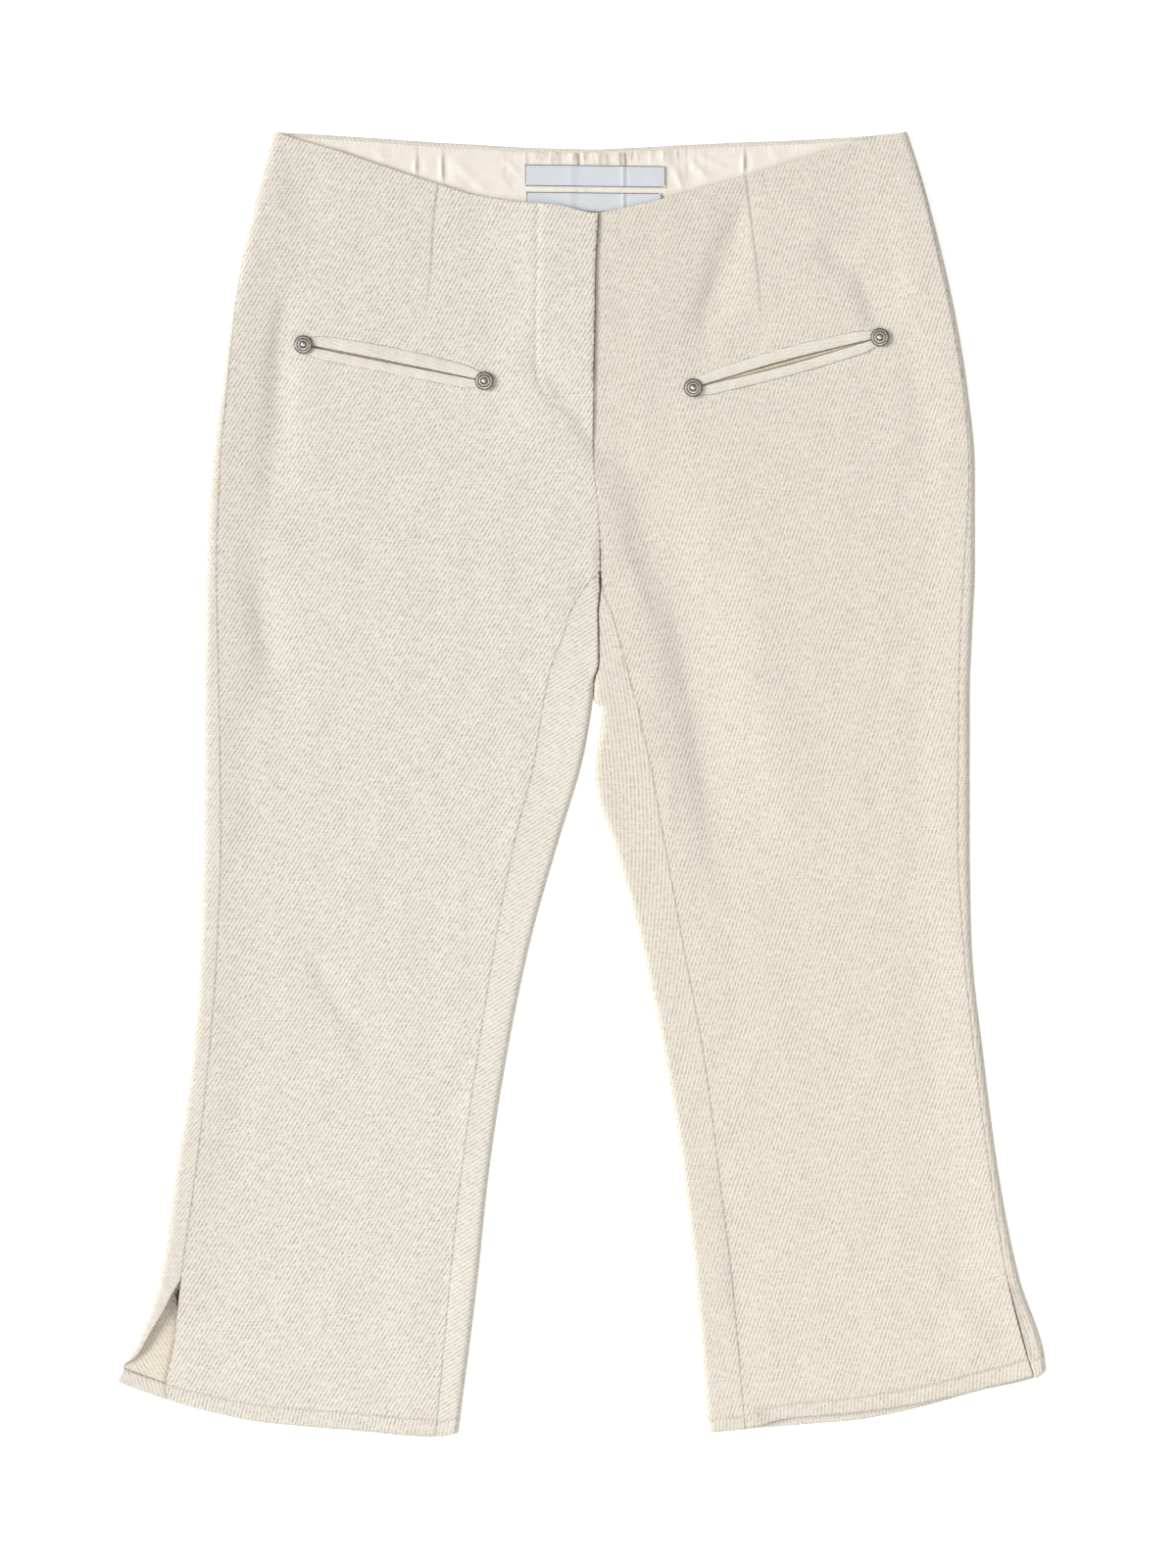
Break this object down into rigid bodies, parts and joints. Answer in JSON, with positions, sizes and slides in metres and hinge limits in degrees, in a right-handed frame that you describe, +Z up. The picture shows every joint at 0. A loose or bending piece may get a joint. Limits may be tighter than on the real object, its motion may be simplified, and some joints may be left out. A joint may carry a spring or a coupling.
{
  "type": "capri pants",
  "caption": "Women's flared wool capri trousers laid flat, with riveted welt pockets, a covered zip fly, darted fronts, side vents and a lined waist.",
  "frame": {"origin": "on the surface that the garment lies on, under the middle of its outline", "axes": "+X to the wearer's left, +Y from the hems to the waist, +Z up out of the front of the garment"},
  "size_m": [0.5406, 0.7598, 0.0103],
  "materials": {
    "wool_twill": "cream wool twill with a steep raised wale",
    "satin_lining": "cream satin",
    "label_weave": "white woven label tape",
    "zip_cloth": "cream zip tape",
    "pewter": "antique pewter with turned rings"
  },
  "bodies": {
    "root": {"front_right": "wool_twill", "front_left": "wool_twill", "back_right": "wool_twill", "back_left": "wool_twill", "welt_upper_right": "wool_twill", "welt_lower_right": "wool_twill", "welt_upper_left": "wool_twill", "welt_lower_left": "wool_twill", "fly_shield": "wool_twill", "zip": "zip_cloth", "zip_slider": "pewter", "pocket_bag_right": "satin_lining", "pocket_bag_left": "satin_lining", "rivet_outer_right": "pewter", "rivet_inner_right": "pewter", "rivet_outer_left": "pewter", "rivet_inner_left": "pewter", "waist_lining": "satin_lining", "label_upper": "label_weave", "label_lower": "label_weave"}
  },
  "joints": []
}
